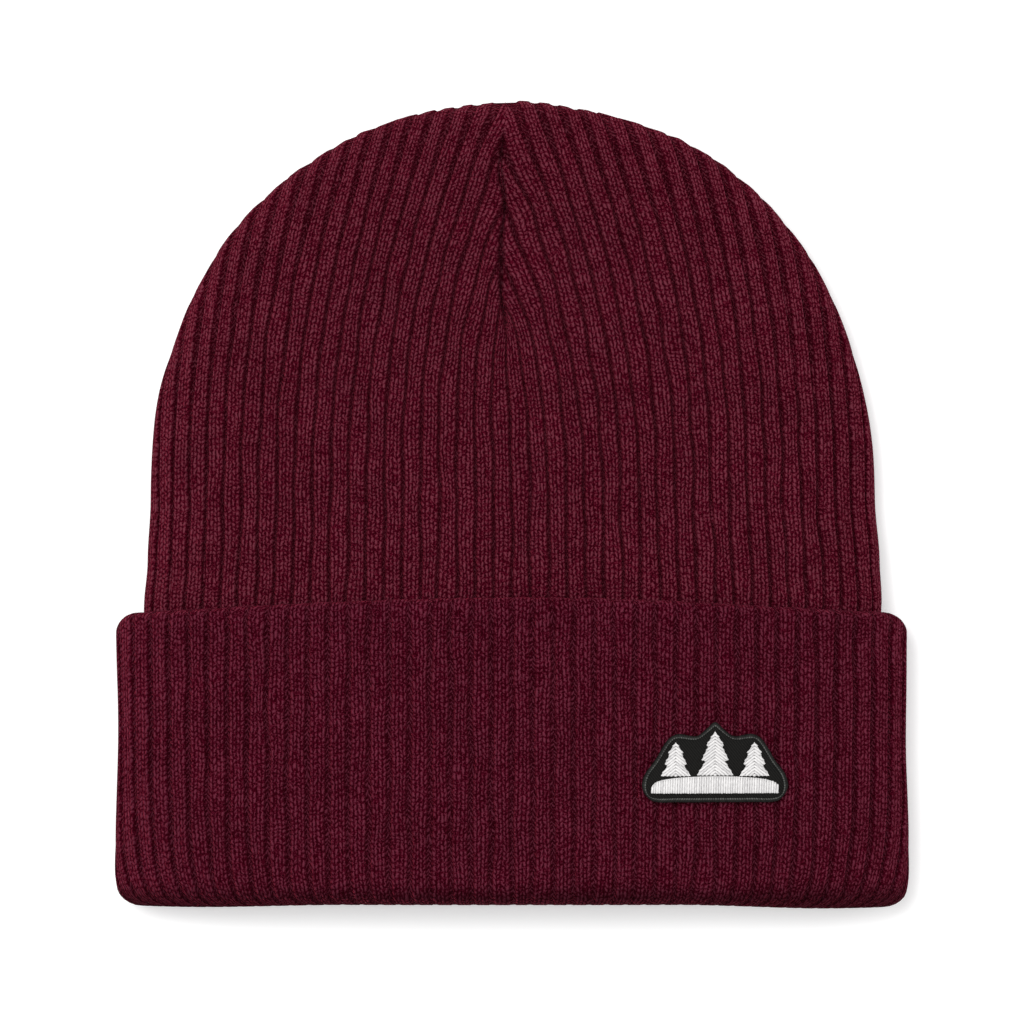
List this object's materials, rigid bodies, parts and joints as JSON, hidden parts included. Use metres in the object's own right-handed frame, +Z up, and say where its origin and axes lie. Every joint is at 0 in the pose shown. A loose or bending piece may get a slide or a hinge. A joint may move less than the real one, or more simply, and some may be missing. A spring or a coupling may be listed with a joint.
{
  "type": "embroidered beanie",
  "caption": "Rib-knit beanie lying flat, with a turned-up cuff, a crown gathered by darts, and an embroidered badge on the cuff.",
  "frame": {"origin": "on the surface the hat lies on, under the middle of its bounding box", "axes": "+Z up through the front of the hat as it lies on its back, +Y from the rim to the top of the crown, +X towards the side that carries the badge"},
  "size_m": [0.2196, 0.2209, 0.0379],
  "materials": {
    "crown_knit": "matte rib knit",
    "cuff_knit": "matte rib knit",
    "badge_cloth": "black twill",
    "badge_edging": "black stitching",
    "white_thread": "satin stitch"
  },
  "bodies": {
    "root": {"crown": "crown_knit", "cuff": "cuff_knit", "badge_backing": "badge_cloth", "badge_border": "badge_edging", "tree_left": "white_thread", "tree_middle": "white_thread", "tree_right": "white_thread", "snow_bank": "white_thread"}
  },
  "joints": []
}
